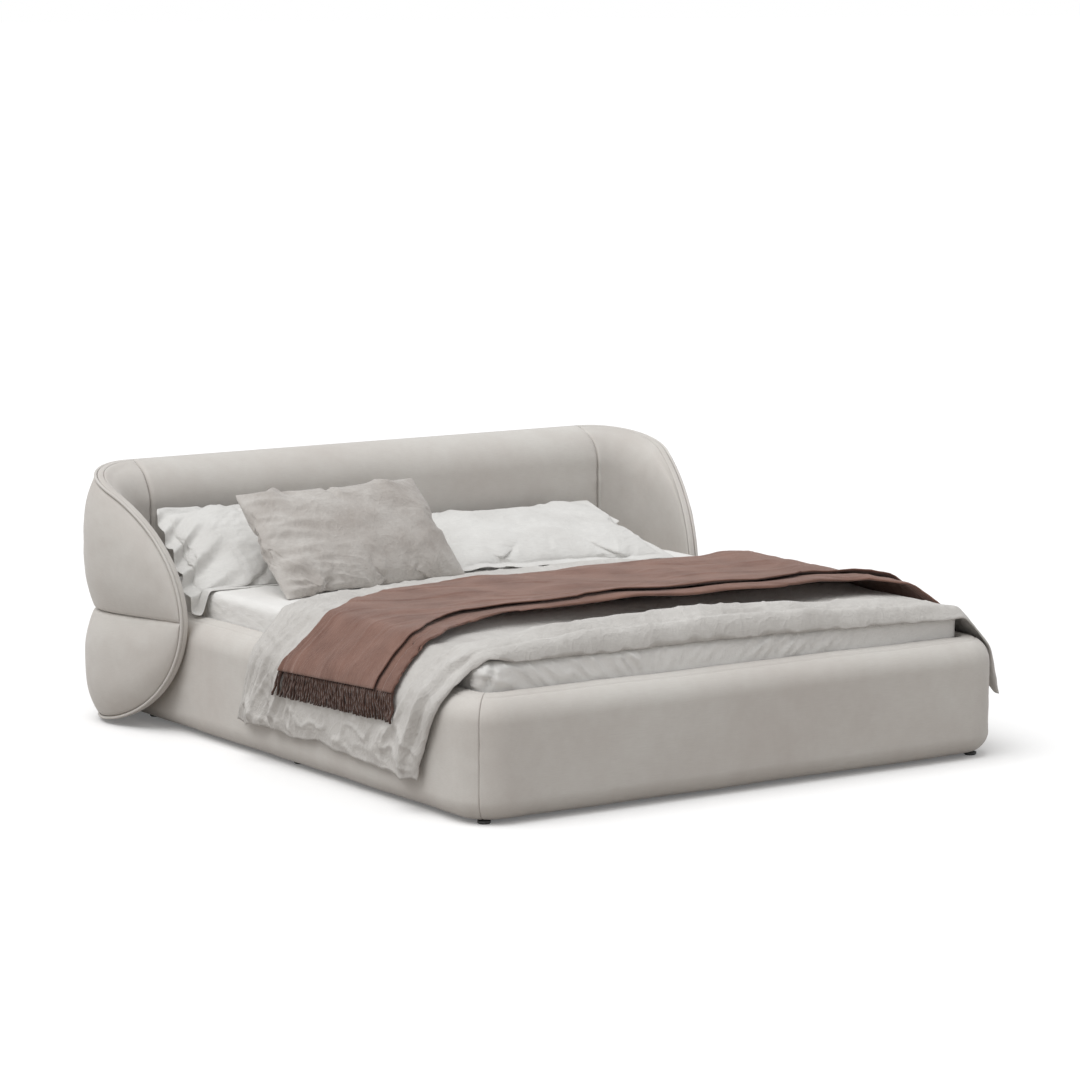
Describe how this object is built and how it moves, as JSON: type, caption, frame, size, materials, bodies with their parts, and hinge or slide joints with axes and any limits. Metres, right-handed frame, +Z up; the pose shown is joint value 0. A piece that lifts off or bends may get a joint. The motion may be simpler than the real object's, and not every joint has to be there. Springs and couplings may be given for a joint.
{
  "type": "upholstered bed",
  "caption": "Low upholstered double bed with a headboard that wraps round the head end, slatted base, mattress and bedding.",
  "frame": {"origin": "on the floor, below the middle of the bed's outer box", "axes": "+Z up, +Y towards the headboard, +X to the right seen from the foot end"},
  "size_m": [2.3412, 2.3276, 0.845],
  "materials": {
    "upholstery": "smooth woven cover over foam",
    "piping_cloth": "cloth-covered piping cord",
    "plywood": "raw plywood",
    "pine": "planed pine",
    "beech": "varnished beech",
    "zinc_steel": "zinc plated",
    "dark_steel": "powder coated, satin",
    "black_plastic": "matte",
    "ticking": "quilted ticking",
    "sheet_cotton": "plain cotton",
    "duvet_linen": "washed linen",
    "throw_wool": "brushed wool",
    "fringe_wool": "twisted wool yarn",
    "pillow_linen": "washed linen",
    "cushion_velvet": "soft brushed cloth"
  },
  "bodies": {
    "bed_frame": {"side_cover_left": "upholstery", "side_cover_right": "upholstery", "foot_cover": "upholstery", "side_board_left": "plywood", "side_board_right": "plywood", "foot_board": "plywood", "head_crossrail": "plywood", "corner_posts": "plywood", "corner_brackets": "zinc_steel", "bracket_bolts": "zinc_steel", "base_feet": "black_plastic", "ledgers": "zinc_steel", "centre_beam": "dark_steel", "beam_hangers": "zinc_steel", "centre_legs": "dark_steel", "headboard_panel": "plywood", "headboard_uprights": "pine", "headboard_rails": "pine", "headboard_bolts": "zinc_steel", "headboard_glides": "black_plastic", "wing_board_left": "plywood", "wing_board_right": "plywood", "centre_pad": "upholstery", "inner_pad_left": "upholstery", "inner_pad_right": "upholstery", "back_cover_upper": "upholstery", "back_cover_lower": "upholstery", "wing_cover_upper_left": "upholstery", "wing_cover_upper_right": "upholstery", "wing_cover_lower_left": "upholstery", "wing_cover_lower_right": "upholstery", "edge_roll_left": "upholstery", "edge_roll_right": "upholstery", "piping_left": "piping_cloth", "piping_right": "piping_cloth", "piping_back": "piping_cloth"},
    "slat_base": {"frame_side_tubes": "dark_steel", "frame_end_tubes": "dark_steel", "slats": "beech", "slat_shoes": "black_plastic"},
    "mattress": {"mattress": "ticking", "fitted_sheet": "sheet_cotton"},
    "duvet": {"duvet": "duvet_linen"},
    "throw": {"throw_blanket": "throw_wool", "throw_fringe": "fringe_wool"},
    "pillow_left": {"pillow_left": "pillow_linen"},
    "pillow_right": {"pillow_right": "pillow_linen"},
    "throw_cushion": {"throw_cushion": "cushion_velvet"},
    "glide_foot": {"glide_foot": "black_plastic"},
    "glide_middle": {"glide_middle": "black_plastic"},
    "glide_head": {"glide_head": "black_plastic"}
  },
  "joints": [
    {"name": "slat_base_lift", "type": "slide", "parent": "bed_frame", "child": "slat_base", "axis": [0, 0, 1], "range_m": [0, 0.3]},
    {"name": "mattress_lift", "type": "slide", "parent": "slat_base", "child": "mattress", "axis": [0, 0, 1], "range_m": [0, 0.3]},
    {"name": "duvet_lift", "type": "slide", "parent": "mattress", "child": "duvet", "axis": [0, 0, 1], "range_m": [0, 0.3]},
    {"name": "throw_lift", "type": "slide", "parent": "duvet", "child": "throw", "axis": [0, 0, 1], "range_m": [0, 0.3]},
    {"name": "pillow_left_lift", "type": "slide", "parent": "mattress", "child": "pillow_left", "axis": [0, 0, 1], "range_m": [0, 0.3]},
    {"name": "throw_cushion_lift", "type": "slide", "parent": "pillow_left", "child": "throw_cushion", "axis": [0, 0, 1], "range_m": [0, 0.3]},
    {"name": "pillow_right_lift", "type": "slide", "parent": "mattress", "child": "pillow_right", "axis": [0, 0, 1], "range_m": [0, 0.3]},
    {"name": "glide_foot_level", "type": "slide", "parent": "bed_frame", "child": "glide_foot", "axis": [0, 0, 1], "range_m": [-0.007, 0.008]},
    {"name": "glide_middle_level", "type": "slide", "parent": "bed_frame", "child": "glide_middle", "axis": [0, 0, 1], "range_m": [-0.007, 0.008]},
    {"name": "glide_head_level", "type": "slide", "parent": "bed_frame", "child": "glide_head", "axis": [0, 0, 1], "range_m": [-0.007, 0.008]}
  ]
}
